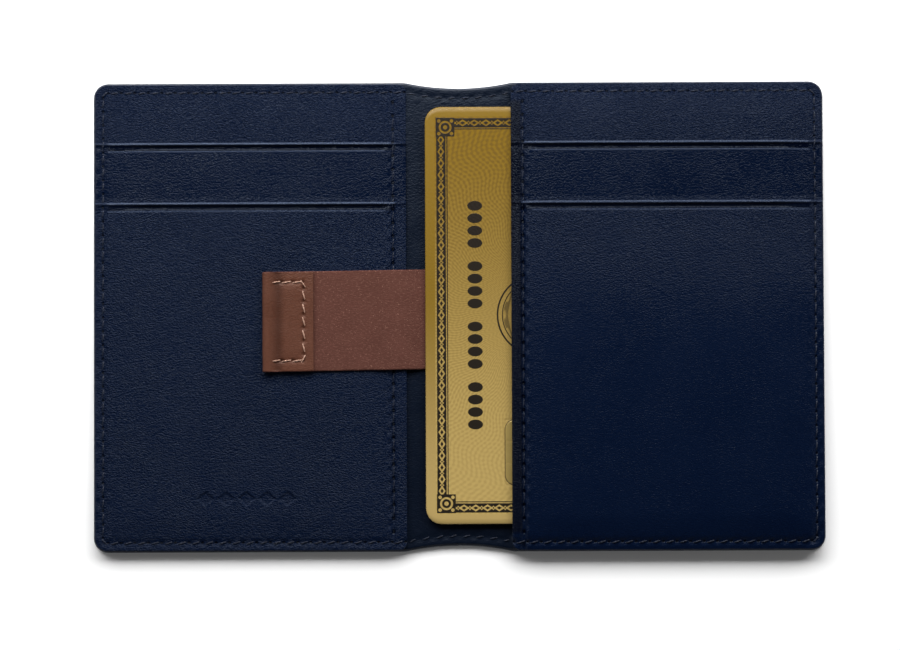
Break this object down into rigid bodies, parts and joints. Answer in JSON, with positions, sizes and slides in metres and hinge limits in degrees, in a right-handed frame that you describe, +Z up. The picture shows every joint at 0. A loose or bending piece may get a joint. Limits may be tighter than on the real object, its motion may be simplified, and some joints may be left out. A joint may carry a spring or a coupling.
{
  "type": "bifold wallet",
  "caption": "Slim leather bifold card wallet, open, with stepped card slots in both halves and a strap that draws a card out of a hidden pocket.",
  "frame": {"origin": "bottom centre: on the resting face, under the middle of the spine", "axes": "+X across the open wallet towards the half that holds the strap and card, +Y along the spine towards the card-slot mouths, +Z up from the resting face through the inside of the wallet"},
  "size_m": [0.1502, 0.0966, 0.0048],
  "materials": {
    "shell_leather": "satin",
    "inner_leather": "satin",
    "interlining_fleece": "matte",
    "divider_fabric": "satin",
    "navy_thread": "satin",
    "tan_thread": "satin",
    "strap_leather": "matte",
    "card_plastic": "gloss",
    "contact_plate": "polished"
  },
  "bodies": {
    "right_panel": {"outer_shell_right": "shell_leather", "interlining_right": "interlining_fleece", "lining_right": "inner_leather", "slot_backing_right": "inner_leather", "card_slot_upper_right": "inner_leather", "slot_divider_right": "divider_fabric", "card_slot_front_right": "inner_leather", "edge_stitching_right": "navy_thread", "mouth_stitching_right": "navy_thread", "strap_anchor": "strap_leather", "strap_anchor_stitching": "tan_thread"},
    "spine": {"outer_shell_spine": "shell_leather", "interlining_spine": "interlining_fleece", "lining_spine": "inner_leather", "edge_stitching_spine": "navy_thread"},
    "left_panel": {"outer_shell_left": "shell_leather", "interlining_left": "interlining_fleece", "lining_left": "inner_leather", "slot_backing_left": "inner_leather", "card_slot_upper_left": "inner_leather", "slot_divider_left": "divider_fabric", "card_slot_front_left": "inner_leather", "edge_stitching_left": "navy_thread", "mouth_stitching_left": "navy_thread"},
    "card": {"card": "card_plastic", "card_contact_plate": "contact_plate", "strap_loop": "strap_leather"},
    "strap": {"strap_band": "strap_leather", "strap_tab_stitching": "tan_thread"}
  },
  "joints": [
    {"name": "spine_fold", "type": "hinge", "parent": "right_panel", "child": "spine", "pos_m": [0.00315, 0, 0.00065], "axis": [0, 1, 0], "range_deg": [0, 90], "deforming": ["outer_shell_spine", "interlining_spine", "lining_spine", "edge_stitching_spine", "strap_band", "strap_tab_stitching", "strap_loop", "strap_anchor", "strap_anchor_stitching"]},
    {"name": "panel_fold", "type": "hinge", "parent": "spine", "child": "left_panel", "pos_m": [-0.00315, 0, 0.00065], "axis": [0, 1, 0], "range_deg": [0, 90]},
    {"name": "card_slide", "type": "slide", "parent": "right_panel", "child": "card", "axis": [1, 0, 0], "range_m": [0, 0.0224]},
    {"name": "strap_pull", "type": "slide", "parent": "right_panel", "child": "strap", "axis": [1, 0, 0], "range_m": [0, 0.0448]}
  ],
  "couplings": [
    {"joint": "panel_fold", "follows": "spine_fold", "ratio": 1},
    {"joint": "card_slide", "follows": "spine_fold", "m_per_rad": 0.01426},
    {"joint": "strap_pull", "follows": "spine_fold", "m_per_rad": 0.02852}
  ]
}
